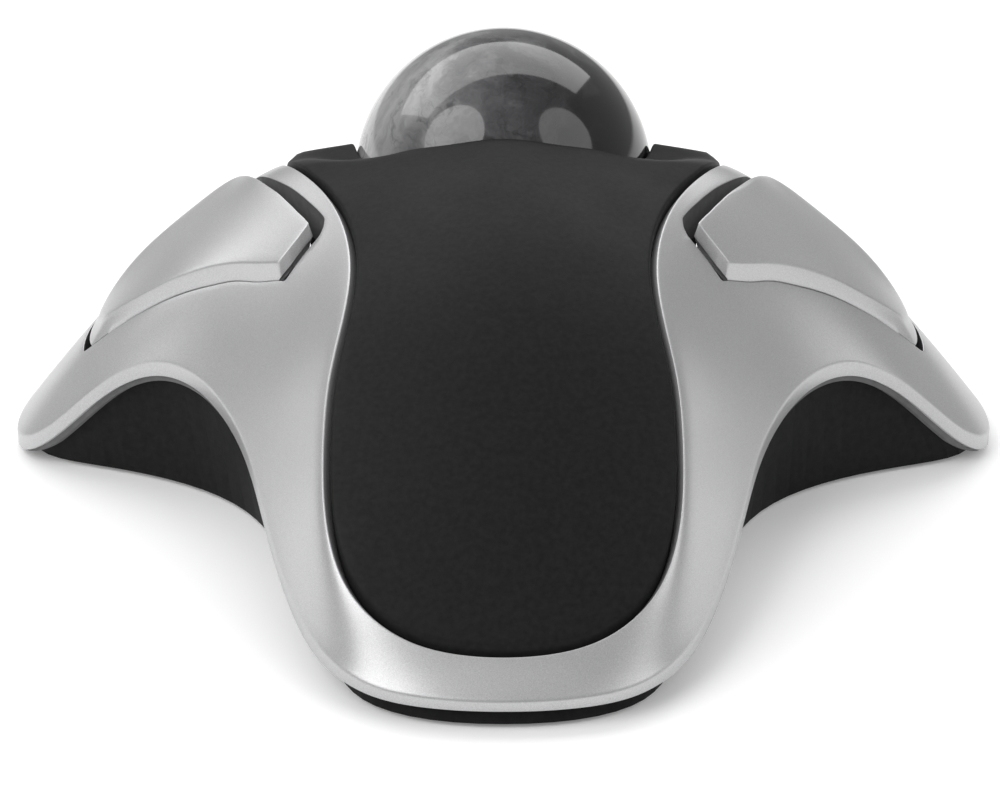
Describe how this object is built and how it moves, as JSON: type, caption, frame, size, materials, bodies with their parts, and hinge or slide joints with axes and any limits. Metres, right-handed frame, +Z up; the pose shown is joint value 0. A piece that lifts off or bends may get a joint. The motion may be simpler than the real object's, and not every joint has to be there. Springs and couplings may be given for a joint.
{
  "type": "trackball mouse",
  "caption": "Wide trackball mouse: a silver shell with two swept wings and a long palm rest holds a large ball, with a sprung button on each wing.",
  "frame": {"origin": "centre of the footprint, on the table", "axes": "+X to the user's right, +Y away from the user toward the cable inlet, +Z up"},
  "size_m": [0.1308, 0.1162, 0.052],
  "materials": {
    "silver_paint": "metallic silver paint, satin",
    "black_plastic": "fine texture",
    "palm_black": "soft-touch satin",
    "ball_resin": "marbled, polished",
    "core_resin": "plain",
    "dark_plastic": "plain",
    "switch_body": "plain",
    "switch_plunger": "plain",
    "circuit_board": "solder mask",
    "chip_black": "plain",
    "steel": "bright",
    "capacitor_sleeve": "sleeve",
    "header_cream": "plain",
    "clear_lens": "clear",
    "led_red": "tinted clear",
    "ribbon_white": "film",
    "rubber": "matte",
    "foot_rubber": "matte",
    "bearing_ceramic": "polished ceramic",
    "label": "blank film"
  },
  "bodies": {
    "chassis": {"base_shell": "black_plastic", "top_shell": "silver_paint", "palm_rest": "palm_black", "ball_cup": "dark_plastic", "bearing_1": "bearing_ceramic", "bearing_2": "bearing_ceramic", "bearing_3": "bearing_ceramic", "cup_screw_1": "steel", "cup_screw_2": "steel", "cup_screw_3": "steel", "left_hinge_pin": "steel", "left_hinge_bracket": "black_plastic", "right_hinge_pin": "steel", "right_hinge_bracket": "black_plastic", "left_switch": "switch_body", "right_switch": "switch_body", "main_board": "circuit_board", "controller_chip": "chip_black", "crystal": "steel", "capacitors": "capacitor_sleeve", "cable_header": "header_cream", "board_screw_1": "steel", "board_screw_2": "steel", "sensor_board": "circuit_board", "sensor_chip": "chip_black", "sensor_lens": "clear_lens", "led": "led_red", "led_holder": "black_plastic", "sensor_ribbon": "ribbon_white", "cable_gland": "rubber", "post_tail": "black_plastic", "post_left": "black_plastic", "post_right": "black_plastic", "case_screw_tail": "steel", "case_screw_left": "steel", "case_screw_right": "steel", "foot_tail": "foot_rubber", "foot_left": "foot_rubber", "foot_right": "foot_rubber", "foot_far": "foot_rubber", "rating_plate": "label"},
    "left_button": {"left_button": "silver_paint", "left_button_arm": "dark_plastic"},
    "right_button": {"right_button": "silver_paint", "right_button_arm": "dark_plastic"},
    "left_plunger": {"left_plunger": "switch_plunger"},
    "right_plunger": {"right_plunger": "switch_plunger"},
    "ball_core": {"ball_core": "core_resin"},
    "ball": {"ball": "ball_resin"}
  },
  "joints": [
    {"name": "ball_roll_x", "type": "hinge", "parent": "chassis", "child": "ball_core", "pos_m": [0, 0.029, 0.032], "axis": [1, 0, 0], "continuous": true},
    {"name": "ball_roll_y", "type": "hinge", "parent": "ball_core", "child": "ball", "pos_m": [0, 0.029, 0.032], "axis": [0, 1, 0], "continuous": true},
    {"name": "left_button_press", "type": "hinge", "parent": "chassis", "child": "left_button", "pos_m": [-0.053, 0.013, 0.008], "axis": [0, 1, 0], "range_deg": [0, 1.5], "stiffness_Nm_per_rad": 0.4, "springref_deg": -2.86},
    {"name": "right_button_press", "type": "hinge", "parent": "chassis", "child": "right_button", "pos_m": [0.053, 0.013, 0.008], "axis": [0, -1, 0], "range_deg": [0, 1.5], "stiffness_Nm_per_rad": 0.4, "springref_deg": -2.86},
    {"name": "left_switch_click", "type": "slide", "parent": "chassis", "child": "left_plunger", "axis": [0, 0, -1], "range_m": [0, 0.0006]},
    {"name": "right_switch_click", "type": "slide", "parent": "chassis", "child": "right_plunger", "axis": [0, 0, -1], "range_m": [0, 0.0006]}
  ],
  "couplings": [
    {"joint": "left_switch_click", "follows": "left_button_press", "m_per_rad": 0.022},
    {"joint": "right_switch_click", "follows": "right_button_press", "m_per_rad": 0.022}
  ]
}
